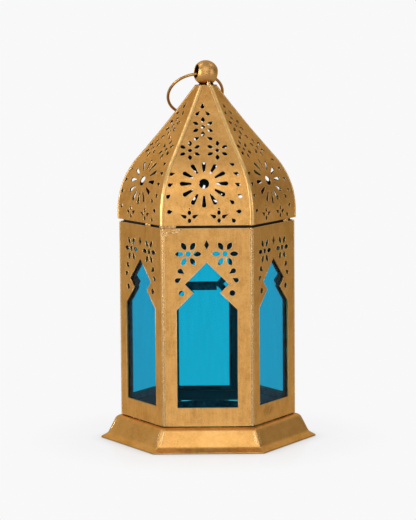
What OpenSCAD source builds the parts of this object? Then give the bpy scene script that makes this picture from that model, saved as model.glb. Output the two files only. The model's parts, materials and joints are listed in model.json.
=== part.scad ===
// Hexagonal sheet-metal candle lantern: flared plinth, pierced body panels with glass,
// pierced ogee roof, drilled ball finial, wire ring and a latched rear door.

/* [Body] */
// Corner radius of the body's outside hexagon
body_corner_r = 46.5; // [46.3:0.1:46.6]
// Height of the body panels
body_h = 103.3; // [102.5:0.1:104]
// Thickness of the body sheet
sheet_t = 0.8; // [0.7:0.05:0.85]
// Radius of the soldered bead along each body corner
corner_bead_r = 0.9; // [0.8:0.05:1]

/* [Window] */
// Half the width of the window
window_half_w = 15.7; // [15:0.1:16]
// Height of the window sill above the body's bottom edge
window_sill_z = 9.7; // [9:0.1:11]
// Height at which the window's straight sides end
window_side_z = 60.9; // [60:0.1:62]
// Half the width between the two inner notch tips
notch_in_x = 6.9; // [6.6:0.1:7.2]
// Half the width between the two outer notch corners
notch_out_x = 11.4; // [11.2:0.1:11.8]
// Thickness of the glass
glass_t = 2.4; // [2:0.1:2.5]

/* [Base] */
// Height of the plinth
base_h = 12.4; // [12:0.1:13]
// Distance from the axis to the middle of each side of the foot
base_apothem = 49.8; // [49.3:0.1:50.2]
// Thickness of the plinth sheet
base_t = 0.9; // [0.8:0.05:1]
// Angle of the sloping skirt from the vertical
skirt_angle = 24; // [23:0.5:25]

/* [Roof] */
// Distance from the axis to the middle of each eave
eave_apothem = 40.9; // [40.8:0.05:41]
// Height of the upright band above the eave
eave_band_h = 5.3; // [5:0.1:5.6]
// Radius of the swelling lower curve
bulge_r = 44; // [43:0.5:45]
// Angle through which the lower curve turns inwards
bulge_angle = 37.5; // [37:0.5:38]
// Height of the roof
roof_h = 69.8; // [69.5:0.1:70.3]
// Distance from the axis to the middle of each top side
top_apothem = 5.2; // [5:0.1:5.4]
// Thickness of the roof sheet
roof_t = 0.7; // [0.6:0.05:0.8]
// Width of the seam strips over the ridges
seam_w = 2.6; // [2.4:0.1:2.8]

/* [Finial and ring] */
// Radius of the ball
ball_r = 6.6; // [6.55:0.05:6.65]
// Radius of the hole across the ball
ball_hole_r = 3.6; // [3.55:0.05:3.65]
// Angle by which the hole across the ball is turned about the lantern's axis
hole_yaw = 19; // [17:0.5:21]
// Angle by which the right end of the hole is lower than the left end
hole_tilt = 9.5; // [8:0.5:10.5]
// Radius of the ring's centre line
ring_r = 14.6; // [14.5:0.05:14.7]
// Radius of the ring's wire
wire_r = 0.75; // [0.7:0.05:0.75]
// Angle at which the ring leans back from the vertical
ring_lean = 41; // [41:0.5:43]

/* [Rear door] */
// Left edge of the door leaf
door_left = -19.2; // [-19.3:0.1:-19.1]
// Right edge of the door leaf
door_right = 17.4; // [17.2:0.1:17.5]
// Bottom edge of the door leaf above the body's bottom edge
door_bottom = 3.8; // [3.7:0.1:4]
// Top edge of the door leaf above the body's bottom edge
door_top = 89; // [88.8:0.1:89.3]
// Width of the frame round the opening in the leaf, on the latch's side
door_rail_w = 3.5; // [3.4:0.1:3.7]
// Width of the frame round the opening in the leaf, on the hinges' side
door_stile_w = 5.5; // [5.4:0.1:5.7]
// Thickness of the door leaf
door_t = 0.8; // [0.7:0.05:0.85]
// Radius of the hinge knuckles
knuckle_r = 1.6; // [1.5:0.05:1.65]
// Radius of the hinge pins
hinge_pin_r = 0.8; // [0.75:0.05:0.85]

/* [Hidden] */
SIDES = ["front", "front_right", "rear_right", "rear", "rear_left", "front_left"];
FIXED = [0, 1, 2, 4, 5];
gold = "goldenrod";
blue = [0.05, 0.62, 0.75, 0.6];
smooth = 48;
eps = 0.01;

// Heights of the stack
body_z = base_h + 0.5;
body_top = body_z + body_h;
eave_z = body_top + 1.5;
crown_z = eave_z + roof_h;
cap_t = 0.5;
seat_r = 1.9;
ball_z = crown_z + cap_t + sqrt(ball_r * ball_r - seat_r * seat_r);
ball_wall = 0.8;
stud_r = 1;
body_apothem = body_corner_r * cos(30);

// Plinth outline: rounded shoulder, sloping skirt, flare and lip
arc_steps = 10;
shoulder_r = 3.2;
flare_r = 3;
lip_angle = 55;
flare_z = 3.6;
shoulder = [body_apothem, base_h - shoulder_r];
slope_top = shoulder + shoulder_r * [cos(skirt_angle), sin(skirt_angle)];
flare = slope_top + (slope_top[1] - flare_z) * [tan(skirt_angle), -1]
    + flare_r * [cos(skirt_angle), sin(skirt_angle)];

// Places across the body wall, measured from the axis
panel_inner = body_apothem - sheet_t;
glass_outer = panel_inner - 0.1;
retainer_outer = glass_outer - glass_t - 0.1;
retainer_t = 0.6;
retainer_w = 3.1;
glass_half_w = window_half_w + 1.8;
glass_z = [window_sill_z - 4, 98];
collar_apothem = 38.2;
collar_t = 0.6;
collar_z = [body_top - 3.6, eave_z + 4.5];

// Ogee outline of the roof: upright band, bulge, then a slightly hollow slope
bulge_top_a = eave_apothem - bulge_r * (1 - cos(bulge_angle));
bulge_top_z = eave_band_h + bulge_r * sin(bulge_angle);
slope_chord = norm([bulge_top_a - top_apothem, roof_h - bulge_top_z]);
slope_turn = bulge_angle - atan2(bulge_top_a - top_apothem, roof_h - bulge_top_z);
slope_r = slope_chord / (2 * sin(slope_turn));
bulge_len = bulge_r * bulge_angle * PI / 180;

// How far the punched pattern of each petal is off the petal's middle
pattern_x = [-1.4, -1.4, 1.4, -0.6, 1.4, -1.4];

// Rear door: edges of its opening, and the opening of the pane frame behind it
door_open = [[door_left + door_rail_w, door_bottom + 4.2], [door_right - door_stile_w, door_top - 6]];
pane_low = door_open[0] - [0.7, 1.2];
pane_high = door_open[1] + [1.4, 1.8];
lap = 0.15;
door_inner = body_apothem + lap;
door_outer = door_inner + door_t;
hinge_x = door_right + 1.2;
hinge_y = door_outer + 1.45;
hinge_mid_z = [22, 72];
knuckle_len = 4;
knuckle_gap = 0.25;
latch_x = -20.9;
latch_z = 50;
latch_y = door_outer + 0.25;
latch_t = 0.8;
rivet_r = 0.7;
rivet_head_r = 1.4;

// Centre of the ring from the ball's, in the ring's plane: the wire hangs on the hole's lower edge
ring_offset = [-0.4, -15.9];

module side(k) {
    rotate([0, 0, 60 * k]) children();
}

module corner(k) {
    rotate([0, 0, 60 * k - 120]) children();
}

// A flat plate in the front side's plane: 2-D x is across, 2-D y is up
module upright(outer, t) {
    translate([0, t - outer, 0]) rotate([90, 0, 0]) linear_extrude(t) children();
}

// The sixth part of the lantern that belongs to the front side, cut back by a gap
module sixth(reach, gap, low, high) {
    half = reach * tan(30);
    translate([0, -gap / sin(30), low]) linear_extrude(high - low)
        polygon([[0, 0], [-half, -reach], [half, -reach]]);
}

module hexagon(apothem) {
    circle(r = apothem / cos(30), $fn = 6);
}

module hex_band(apothem, t, h) {
    linear_extrude(h) difference() {
        hexagon(apothem);
        hexagon(apothem - t);
    }
}

// Outline shapes
module rounded_rect(low, high, r) {
    translate([low[0] + r, low[1]]) square([high[0] - low[0] - 2 * r, high[1] - low[1]]);
    translate([low[0], low[1] + r]) square([high[0] - low[0], high[1] - low[1] - 2 * r]);
    for (x = [low[0] + r, high[0] - r], y = [low[1] + r, high[1] - r])
        translate([x, y]) circle(r, $fn = smooth);
}

module leaf(l, w) {
    r = (l * l + w * w) / (4 * w);
    intersection() {
        translate([r - w / 2, 0]) circle(r, $fn = smooth);
        translate([w / 2 - r, 0]) circle(r, $fn = smooth);
    }
}

module drop(l, w) {
    tip = l - w / 2;
    a = asin(w / 2 / tip);
    base = 0.48 * w * [cos(a), sin(a)];
    translate([0, w / 2 - l / 2]) {
        circle(w / 2, $fn = smooth);
        polygon([[0, tip], [-base[0], base[1]], base]);
    }
}

module kite(l, w) {
    polygon([[0, l * 0.55], [w / 2, 0], [0, -l * 0.45], [-w / 2, 0]]);
}

module ray(inner, outer, w_in, w_out) {
    polygon([[-w_in / 2, inner], [w_in / 2, inner], [w_out / 2, outer - w_out / 2],
        [-w_out / 2, outer - w_out / 2]]);
    translate([0, outer - w_out / 2]) circle(w_out / 2, $fn = smooth);
}

// Part of a ring between two angles, for sheet sections
module arc_band(centre, r_in, r_out, from, to) {
    reach = 2 * r_out;
    mid = (from + to) / 2;
    translate(centre) intersection() {
        difference() {
            circle(r_out, $fn = 96);
            circle(r_in, $fn = 96);
        }
        polygon([[0, 0], reach * [cos(from), sin(from)], reach * [cos(mid), sin(mid)],
            reach * [cos(to), sin(to)]]);
    }
}

// Bridges two stretches of a sheet section at a point on its outer face
module sheet_joint(place, facing, t) {
    translate(place) rotate(facing) translate([eps - t, -0.3]) square([t - 2 * eps, 0.6]);
}

// Window outline, and the same outline moved outwards by w
function window_points() =
    let (in_z = window_side_z + window_half_w - notch_in_x)
    let (out_z = in_z + notch_out_x - notch_in_x)
    [[-window_half_w, window_sill_z], [window_half_w, window_sill_z],
     [window_half_w, window_side_z], [notch_in_x, in_z], [notch_out_x, out_z],
     [0, out_z + notch_out_x], [-notch_out_x, out_z], [-notch_in_x, in_z],
     [-window_half_w, window_side_z]];

function unit(v) = v / norm(v);
function moved_out(pts, w) = [for (i = [0:len(pts) - 1])
    let (n = len(pts))
    let (a = unit(pts[i] - pts[(i + n - 1) % n]), b = unit(pts[(i + 1) % n] - pts[i]))
    let (na = [a[1], -a[0]], nb = [b[1], -b[0]])
    pts[i] + w * (na + nb) / (1 + na * nb)];

module window() {
    polygon(window_points());
}

module body_flower() {
    circle(1.4, $fn = smooth);
    for (turn = [0:60:300]) rotate(turn + 30) translate([0, 4.6]) leaf(4.4, 2.5);
}

module body_pattern() {
    window();
    translate([0, 94.5]) kite(4.8, 2.6);
    for (s = [-1, 1]) {
        translate([s * 9.5, 90]) body_flower();
        translate([s * 13.2, 80.8]) rotate(s * 125) drop(4, 2.6);
        translate([s * 14.7, 76.6]) rotate(s * 60) drop(3.7, 2.4);
        translate([s * 13.1, 69.6]) circle(1.5, $fn = smooth);
    }
}

function arc_points(centre, r, from, to) = [for (i = [0:arc_steps])
    let (a = from + (to - from) * i / arc_steps)
    centre + r * [cos(a), sin(a)]];

// Half outline of the plinth from its top to its flare, moved inwards by a sheet thickness
function plinth_outline(inwards) = concat([[0, base_h - inwards]],
    arc_points(shoulder, shoulder_r - inwards, 90, skirt_angle),
    arc_points(flare, flare_r + inwards, 180 + skirt_angle, 180 + lip_angle));

// Solid with six equal sides, each with the given half outline
module six_sided(half) {
    mirrored = [for (i = [len(half) - 1:-1:0]) [-half[i][0], half[i][1]]];
    intersection_for (turn = [0, 60, 120]) rotate([90, 0, turn + 90])
        translate([0, 0, -60]) linear_extrude(120) polygon(concat(half, mirrored));
}

module base_plinth() {
    foot_inner = flare[0] - (flare_r + base_t) * cos(lip_angle);
    lip = flare - flare_r * [cos(lip_angle), sin(lip_angle)];
    tip_z = lip[1] - (base_apothem - lip[0]) * tan(90 - lip_angle);
    color(gold) difference() {
        six_sided(concat(plinth_outline(0), [[base_apothem, tip_z], [base_apothem, 0], [0, 0]]));
        six_sided(concat(plinth_outline(base_t), [[foot_inner, -1], [0, -1]]));
        translate([0, 0, base_h - 2]) linear_extrude(3) hexagon(body_apothem - 6);
    }
}

module base_deck() {
    color(gold) translate([0, 0, base_h - base_t - 0.8]) linear_extrude(0.8)
        hexagon(body_apothem - 0.8);
}

module tealight_ring() {
    color(gold) translate([0, 0, base_h - base_t]) rotate_extrude($fn = 96) {
        translate([20, 0]) square([0.6, 5]);
        translate([20, 0]) square([3, 0.5]);
    }
}

// Beads that hold the body to the plinth: one at each corner, two along each side
module base_solder() {
    bead_h = body_z - base_h;
    color(gold) translate([0, 0, base_h]) for (k = [0:5]) {
        corner(k) translate([body_corner_r - 1.4, 0, 0]) cylinder(r = 0.9, h = bead_h, $fn = smooth);
        side(k) for (x = [-11, 6])
            translate([x, -body_apothem + 0.6, 0]) cylinder(r = 0.6, h = bead_h, $fn = smooth);
    }
}

module corner_bead(clearance) {
    translate([body_corner_r - corner_bead_r / cos(30), 0, body_z])
        cylinder(r = corner_bead_r + clearance, h = body_h, $fn = smooth);
}

// A folded strip behind two panels, with its bead of solder in the corner
module corner_post(k) {
    wing = 3.6;
    wing_t = 0.6;
    color(gold) corner(k) {
        corner_bead(0);
        translate([0, 0, body_z]) linear_extrude(body_h - 4) for (s = [-1, 1])
            rotate(s * 30) translate([panel_inner - wing_t, -s * panel_inner * tan(30)])
                polygon([[0, s * wing_t * tan(30)], [wing_t, 0], [wing_t, s * wing], [0, s * wing]]);
        translate([0, 0, body_z]) linear_extrude(body_h - 4)
            translate([body_corner_r - corner_bead_r / cos(30) - 0.9, -0.35]) square([0.9, 0.7]);
    }
}

module panel_blank() {
    bead_clearance = 0.5;
    half = body_corner_r / 2 - corner_bead_r * tan(30) - bead_clearance;
    difference() {
        translate([0, 0, body_z]) upright(body_apothem, sheet_t)
            difference() {
                rounded_rect([-half, 0], [half, body_h], 1.2);
                children();
            }
        for (k = [0, 1]) corner(k) corner_bead(0.02);
    }
}

module body_panel(k) {
    color(gold) side(k) panel_blank() translate([-0.3, 0]) body_pattern();
}

module glass(k) {
    color(blue) side(k) translate([0, 0, body_z]) upright(glass_outer, glass_t)
        translate([-glass_half_w, glass_z[0]]) square([2 * glass_half_w, glass_z[1] - glass_z[0]]);
}

// A strip frame that follows the window behind the glass, on four feet beside the glass
module pane_retainer(k) {
    foot_x = glass_half_w + 0.15;
    color(gold) side(k) translate([0, 0, body_z]) {
        upright(retainer_outer, retainer_t) difference() {
            polygon(moved_out(window_points(), retainer_w));
            window();
        }
        for (s = [-1, 1], z = [12, 52])
            translate([s * (foot_x + 0.4) - 0.4, -panel_inner, z])
                cube([0.8, panel_inner - retainer_outer + retainer_t, 5]);
    }
}

module rear_frame() {
    color(gold) side(3) panel_blank() mirror([1, 0, 0]) {
        translate(pane_low - [1, 1.6]) square(pane_high - pane_low + [2.4, 3.7]);
        for (x = [-14:7:14]) translate([x, 96]) kite(4.6, 2.3);
        translate([latch_x, latch_z]) circle(rivet_r, $fn = smooth);
    }
}

// The rear side seen from outside is mirrored, so its plates are drawn in true x
module rear_upright(outer, t) {
    translate([0, outer, body_z]) rotate([90, 0, 0]) linear_extrude(t) children();
}

module door_leaf() {
    color(gold) rear_upright(door_outer, door_t) difference() {
        rounded_rect([door_left, door_bottom], [door_right, door_top], 1);
        translate(door_open[0]) square(door_open[1] - door_open[0]);
    }
}

module door_glass() {
    color(blue) rear_upright(door_inner - 0.05, glass_t)
        translate(pane_low) square(pane_high - pane_low);
}

// Rectangular pane frame, with the window's outline in strip and a strap across its notch
module door_grille() {
    arch_shift = [-2.7, -5];
    strip_w = 3.2;
    strap_z = [61.3, 66];
    depth = door_inner - glass_t - 0.1;
    color(gold) {
        rear_upright(depth, retainer_t) {
            difference() {
                translate(pane_low) square(pane_high - pane_low);
                translate(pane_low + [0.6, 1]) square(pane_high - pane_low - [1.9, 2.5]);
            }
            intersection() {
                translate(pane_low) square(pane_high - pane_low);
                union() {
                    translate(arch_shift) difference() {
                        polygon(moved_out(window_points(), strip_w));
                        window();
                    }
                    translate([arch_shift[0] - notch_in_x - 1, strap_z[0]])
                        square([2 * notch_in_x + 2, strap_z[1] - strap_z[0]]);
                }
            }
        }
        for (x = [-13, 5], z = [pane_low[1] - 0.8, pane_high[1]])
            translate([x, depth - retainer_t, body_z + z]) cube([6, glass_t + 0.7, 0.8]);
    }
}

module knuckle(z) {
    translate([hinge_x, hinge_y, z]) cylinder(r = knuckle_r, h = knuckle_len, $fn = smooth);
}

module pin_bore(z, clearance) {
    translate([hinge_x, hinge_y, z - 10])
        cylinder(r = hinge_pin_r + clearance, h = 30, $fn = smooth);
}

// Hinge height above the body's bottom edge: 0 is the lower hinge, 1 is the upper one
function hinge_z(i) = body_z + hinge_mid_z[i] - knuckle_len / 2;

module fixed_hinge_leaf(i) {
    step = knuckle_len + knuckle_gap;
    plate_t = hinge_y - knuckle_r + 0.3 - body_apothem;
    color(gold) difference() {
        union() {
            for (s = [-1, 1]) {
                knuckle(hinge_z(i) + s * step);
                translate([hinge_x, body_apothem, hinge_z(i) + s * step])
                    cube([3.4, plate_t, knuckle_len]);
            }
            translate([hinge_x + 2, body_apothem, hinge_z(i) - step])
                cube([1.4, 0.7, 2 * step + knuckle_len]);
        }
        pin_bore(hinge_z(i), 0);
    }
}

module door_hinge_leaf(i) {
    reach = 6.2;
    color(gold) difference() {
        union() {
            knuckle(hinge_z(i));
            translate([hinge_x - reach, door_outer, hinge_z(i)]) cube([reach, 0.7, knuckle_len]);
        }
        pin_bore(hinge_z(i), 0.05);
    }
}

module hinge_pin(i) {
    step = knuckle_len + knuckle_gap;
    length = 2 * step + knuckle_len;
    color("darkgoldenrod") translate([hinge_x, hinge_y, hinge_z(i) - step]) {
        cylinder(r = hinge_pin_r, h = length, $fn = smooth);
        translate([0, 0, length]) cylinder(r = hinge_pin_r + 0.5, h = 0.6, $fn = smooth);
        translate([0, 0, -0.6]) cylinder(r = hinge_pin_r + 0.5, h = 0.6, $fn = smooth);
    }
}

module latch_plate(y, t) {
    translate([latch_x, y + t, body_z + latch_z]) rotate([90, 0, 0]) linear_extrude(t) children();
}

// A tongue that hangs from its rivet and turns up across the door's edge
module latch_button() {
    tongue = 5.2;
    tongue_r = 1.15;
    color(gold) latch_plate(latch_y, latch_t) difference() {
        union() {
            circle(rivet_head_r, $fn = smooth);
            translate([-tongue_r, -tongue]) square([2 * tongue_r, tongue]);
            translate([0, -tongue]) circle(tongue_r, $fn = smooth);
        }
        circle(rivet_r + 0.05, $fn = smooth);
    }
}

module latch_rivet() {
    stem = latch_y + latch_t + 0.05 - panel_inner;
    color("darkgoldenrod") {
        latch_plate(panel_inner, stem) circle(rivet_r, $fn = smooth);
        latch_plate(panel_inner + stem, 0.7) circle(rivet_head_r, $fn = smooth);
    }
}

module latch_washer() {
    color(gold) latch_plate(body_apothem, latch_y - 0.05 - body_apothem) difference() {
        circle(rivet_head_r, $fn = smooth);
        circle(rivet_r, $fn = smooth);
    }
}

module collar_band() {
    color(gold) translate([0, 0, collar_z[0]])
        hex_band(collar_apothem, collar_t, collar_z[1] - collar_z[0]);
}

// Lumps of solder from the collar to the roof and to the body, and one bridge per side
module collar_solder() {
    bridge_x = [-21.8, 12, -8, 15, -14, 6];
    color(gold) for (k = [0:5]) side(k) {
        for (x = [-14.5, 11.5]) translate([x, -panel_inner, body_top - 3])
            cube([4, panel_inner - collar_apothem, 2.6]);
        translate([pattern_x[k] - 2, roof_t - eave_apothem, eave_z + 0.6])
            cube([4, eave_apothem - roof_t - collar_apothem, 3]);
        translate([bridge_x[k], -0.2 - body_apothem, body_top])
            cube([3.6, 0.9, eave_z - body_top]);
    }
}

// Distance along the sheet from the eave, turned into place and lean
function sheet_angle(s) =
    s < eave_band_h ? 0 :
    s < eave_band_h + bulge_len ? (s - eave_band_h) / bulge_r * 180 / PI :
    bulge_angle - (s - eave_band_h - bulge_len) / slope_r * 180 / PI;

function sheet_place(s) = let (a = sheet_angle(s))
    s < eave_band_h ? [eave_apothem, s] :
    s < eave_band_h + bulge_len
        ? [eave_apothem - bulge_r * (1 - cos(a)), eave_band_h + bulge_r * sin(a)]
        : [bulge_top_a - slope_r * (cos(a) - cos(bulge_angle)),
           bulge_top_z + slope_r * (sin(bulge_angle) - sin(a))];

// Section of sheet along an ogee: band height, bulge radius and angle, slope radius and turn
module ogee_section(a0, band_h, r, angle, top, turn, t) {
    bulge_end = [a0 - r * (1 - cos(angle)), band_h + r * sin(angle)];
    far = norm(bulge_end - top) / (2 * sin(turn));
    translate([a0 - t, 0]) square([t, band_h]);
    arc_band([a0 - r, band_h], r - t, r, 0, angle);
    arc_band(bulge_end + far * [cos(angle), sin(angle)], far, far + t,
        180 + angle - 2 * turn, 180 + angle);
    sheet_joint(bulge_end, angle, t);
}

// One hole at a place on the sheet of the front petal, cut square to the sheet
module pierce(x, s, turn = 0) {
    p = sheet_place(s);
    translate([x, -p[0], p[1]]) rotate([90 - sheet_angle(s), 0, 0]) rotate(turn)
        translate([0, 0, -2]) linear_extrude(4) children();
}

module roof_flower(x, s) {
    pierce(x, s) circle(1.1, $fn = smooth);
    for (turn = [0:60:300])
        pierce(x - 4.3 * sin(turn), s + 4.3 * cos(turn), turn) leaf(3.3, 2);
}

module sunburst(x, s, start) {
    pierce(x, s) circle(2.65, $fn = smooth);
    for (turn = [start:30:start + 330])
        pierce(x - 9.5 * sin(turn), s + 9.5 * cos(turn), turn)
            translate([0, -9.5]) ray(6.4, 12.5, 1, 2.3);
}

module eave_flower(x, s) {
    pierce(x, s + 2) leaf(2.4, 1.9);
    pierce(x, s - 2.1) leaf(2.4, 1.9);
    for (side_x = [-3.1, 3.1]) pierce(x + side_x, s + 0.3, -sign(side_x) * 62) drop(3.5, 1.9);
    pierce(x, s + 4.1) circle(0.4, $fn = smooth);
}

// Punched pattern of a petal, with its upper part lowered and its sunburst turned
module petal_holes(lowered, start) {
    pierce(-0.5, 68.4 - lowered) drop(3.6, 2.1);
    for (s = [-1, 1]) {
        pierce(s * 2.4 - 0.5, 64 - lowered, s * 38) drop(3.4, 1.9);
        pierce(s * 3.2 - 0.2, 48.7 - lowered, s * 58) drop(3.5, 2.1);
        roof_flower(s * 7.1, 41.2 - lowered);
        eave_flower(s * 7.6, 4.6);
        pierce(s * 16.3, 27.2 - lowered, s * 75) drop(3.3, 2);
        pierce(s * 17.2, 21.3 - lowered, s * 65) drop(3.1, 2);
        pierce(s * 18.3, 15.2 - lowered, s * 50) drop(2.9, 2);
        pierce(s * 17.6, 7.2, s * 80) drop(2.9, 2.1);
    }
    roof_flower(-0.3, 55.6 - lowered);
    sunburst(0, 21.7 - lowered, start);
    pierce(14.2, 32.7 - lowered, 65) drop(3.3, 1.9);
    pierce(14.2, 12.2 - lowered, 50) drop(3.1, 2);
    pierce(15, 2.6, 40) drop(2.7, 2);
}

module roof_petal(k) {
    lowered = [0, 0, 1.6, 1.6, 1.6, 0];
    color(gold) side(k) translate([0, 0, eave_z]) difference() {
        intersection() {
            rotate([90, 0, -90]) translate([0, 0, -30]) linear_extrude(60)
                ogee_section(eave_apothem, eave_band_h, bulge_r, bulge_angle,
                    [top_apothem, roof_h], slope_turn, roof_t);
            sixth(50, seam_w / 2 + 0.02, -1, roof_h + 1);
            translate([-30, -50, 0]) cube([60, 50, roof_h]);
        }
        translate([pattern_x[k], 0, 0]) petal_holes(lowered[k], k == 3 ? 15 : 0);
    }
}

// Flat strip over a ridge; the ridge's bulge is the petals' own, drawn out to the corner
module roof_seam(k) {
    proud = 0.35;
    sunk = seam_w / 2 * tan(30) - proud;
    ridge_angle = atan(tan(bulge_angle) / cos(30));
    ridge_r = bulge_r * (1 - cos(bulge_angle)) / cos(30) / (1 - cos(ridge_angle));
    ridge_band = bulge_top_z - ridge_r * sin(ridge_angle);
    ridge_top = [top_apothem / cos(30) - sunk, roof_h];
    ridge_end = [bulge_top_a / cos(30) - sunk, bulge_top_z];
    turn = ridge_angle - atan2(ridge_end[0] - ridge_top[0], ridge_top[1] - ridge_end[1]);
    color(gold) corner(k) translate([0, 0, eave_z]) rotate([90, 0, 0])
        translate([0, 0, -seam_w / 2]) linear_extrude(seam_w) intersection() {
            ogee_section(eave_apothem / cos(30) - sunk, ridge_band, ridge_r, ridge_angle,
                ridge_top, turn, 1);
            square([60, roof_h]);
        }
}

module crown_cap() {
    color(gold) translate([0, 0, crown_z]) linear_extrude(cap_t) difference() {
        hexagon(top_apothem - 0.1);
        circle(seat_r, $fn = smooth);
    }
}

module crown_tabs() {
    color(gold) for (turn = [20, 95, 170, 245, 300]) rotate([0, 0, turn])
        translate([3.5, -0.9, crown_z + cap_t]) cube([0.6, 1.8, 0.6]);
}

// A stud through the crown: its washer is below the crown, its head is inside the ball
module finial_stud() {
    washer_r = 2.6;
    washer_t = 0.6;
    head_r = 2;
    head_t = 0.7;
    head_z = ball_z - sqrt(pow(ball_r - ball_wall, 2) - head_r * head_r) + 0.15;
    low = crown_z - washer_t - 0.6;
    color("darkgoldenrod") {
        translate([0, 0, low]) cylinder(r = stud_r, h = head_z + head_t - low, $fn = smooth);
        translate([0, 0, crown_z - washer_t]) cylinder(r = washer_r, h = washer_t, $fn = smooth);
        translate([0, 0, head_z]) cylinder(r = head_r, h = head_t, $fn = smooth);
    }
}

// Turns the axis of the ball's hole from the X axis into its place
module across_ball() {
    translate([0, 0, ball_z]) rotate([0, hole_tilt, hole_yaw]) children();
}

module ball_finial() {
    color(gold) difference() {
        translate([0, 0, ball_z]) sphere(ball_r, $fn = 96);
        translate([0, 0, ball_z]) sphere(ball_r - ball_wall, $fn = 96);
        across_ball() rotate([0, 90, 0]) translate([0, 0, -ball_r])
            cylinder(r = ball_hole_r, h = 2 * ball_r, $fn = smooth);
        translate([0, 0, crown_z]) cylinder(r = stud_r + 0.05, h = ball_r, $fn = smooth);
    }
}

module hanging_ring() {
    joint_turn = 144;
    joint_gap = 0.2;
    color(gold) across_ball() rotate([ring_lean, 0, 0])
        translate([ring_offset[0], 0, ring_offset[1]]) rotate([90, 0, 0]) difference() {
            rotate_extrude($fn = 96) translate([ring_r, 0]) circle(wire_r, $fn = smooth);
            rotate(joint_turn) translate([ring_r - 2, -joint_gap / 2, -2]) cube([4, joint_gap, 4]);
        }
}

base_plinth();
base_deck();
tealight_ring();
base_solder();
for (k = [0:5]) corner_post(k);
for (k = FIXED) body_panel(k);
for (k = FIXED) glass(k);
for (k = FIXED) pane_retainer(k);
rear_frame();
door_leaf();
door_glass();
door_grille();
fixed_hinge_leaf(0);  // hinge_lower_fixed_leaf
fixed_hinge_leaf(1);  // hinge_upper_fixed_leaf
door_hinge_leaf(0);  // hinge_lower_door_leaf
door_hinge_leaf(1);  // hinge_upper_door_leaf
hinge_pin(0);  // hinge_lower_pin
hinge_pin(1);  // hinge_upper_pin
latch_button();
latch_rivet();
latch_washer();
collar_band();
collar_solder();
for (k = [0:5]) roof_petal(k);
for (k = [0:5]) roof_seam(k);
crown_cap();
crown_tabs();
finial_stud();
ball_finial();
hanging_ring();
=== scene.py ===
"""Looks of a pierced hexagonal candle lantern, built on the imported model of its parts.

Everything is in the model's own frame: +Z up, the front panel faces -Y. Objects are in metres.
Materials, and the shapes whose docstring says so, are worked out in millimetres.
"""
import json
import math
import random

import bmesh
import bpy
from mathutils import Euler, Matrix, Vector, noise


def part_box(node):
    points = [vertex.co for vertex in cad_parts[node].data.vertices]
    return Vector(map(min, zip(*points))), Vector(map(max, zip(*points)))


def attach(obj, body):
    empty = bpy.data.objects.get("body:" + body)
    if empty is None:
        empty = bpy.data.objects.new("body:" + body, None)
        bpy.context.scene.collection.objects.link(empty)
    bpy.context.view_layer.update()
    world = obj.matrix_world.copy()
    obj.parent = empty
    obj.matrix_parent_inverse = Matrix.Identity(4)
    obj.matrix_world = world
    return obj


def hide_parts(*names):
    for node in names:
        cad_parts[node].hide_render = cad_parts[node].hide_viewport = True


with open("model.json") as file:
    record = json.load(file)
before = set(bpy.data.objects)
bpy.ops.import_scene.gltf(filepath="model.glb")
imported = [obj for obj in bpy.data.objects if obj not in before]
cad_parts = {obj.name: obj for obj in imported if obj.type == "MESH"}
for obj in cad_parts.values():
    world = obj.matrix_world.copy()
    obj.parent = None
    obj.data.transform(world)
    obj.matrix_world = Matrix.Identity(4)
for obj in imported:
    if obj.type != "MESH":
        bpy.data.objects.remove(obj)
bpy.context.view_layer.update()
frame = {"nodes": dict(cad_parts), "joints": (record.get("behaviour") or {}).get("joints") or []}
NODES = frame["nodes"]
MM = 0.001

SIDES = ["front", "front_right", "rear_right", "rear", "rear_left", "front_left"]
SIDE_ANGLE = {s: math.radians(60 * k) for k, s in enumerate(SIDES)}
CORNER_ANGLE = [math.radians(60 * k - 120) for k in range(6)]
COS30 = math.cos(math.radians(30))

# The ball, which the ring swings in
RING_JOINT = next(j for j in frame["joints"] if j["name"] == "ring_swing")
BALL_CENTRE = Vector(RING_JOINT["pos_m"])
BALL_R = 6.6 * MM
BALL_HOLE_R = 3.6 * MM
BALL_WALL = 0.8 * MM

# Radii in millimetres of the rims round the punched holes
PANEL_RIM_R = 0.19
PETAL_RIM_R = 0.14

# The studio
FLOOR_HALF_WIDTH = 3.0
SWEEP = 0.939  # radiance of the white studio sweep
FLOOR_GLOW = 0.53  # what the pale floor sends to everything but the camera
SKY_BEHIND, SKY_LEFT, SKY_ABOVE, SKY_ALL_ROUND = 0.33, 0.10, 0.26, 0.11
LIGHTS_AIM = Vector((0, 0, 0.1))
# Name, azimuth in degrees from the front, height, distance, size and power of each softbox
SOFTBOXES = [
    ("left_softbox", -60, 0.22, 1.25, (0.45, 0.9), 9.5),
    ("right_softbox", 60, 0.30, 1.25, (0.35, 0.9), 2.6),
    ("top_softbox", 0, 0.92, 1.15, (1.2, 0.9), 4.2),
    ("high_softbox", 0, 1.5, 0.7, (1.2, 0.8), 0.6),
    ("front_card", 0, -0.02, 1.9, (1.0, 0.5), 6.4),
    ("left_wall", -112, 0.25, 1.3, (0.8, 0.9), 0.3),
    ("high_left_softbox", -105, 1.25, 0.70, (0.4, 0.4), 1.6),
    ("high_right_softbox", 105, 1.25, 0.70, (0.3, 0.3), 0.8),
]
CAMERA_PLACE = (-0.0028, -1.3357, 0.2515)
CAMERA_PITCH, CAMERA_YAW, CAMERA_ROLL = (math.radians(d) for d in (-6.68, -0.14, -0.43))
SENSOR_HEIGHT, FOCAL_LENGTH = 36, 175.4


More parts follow.
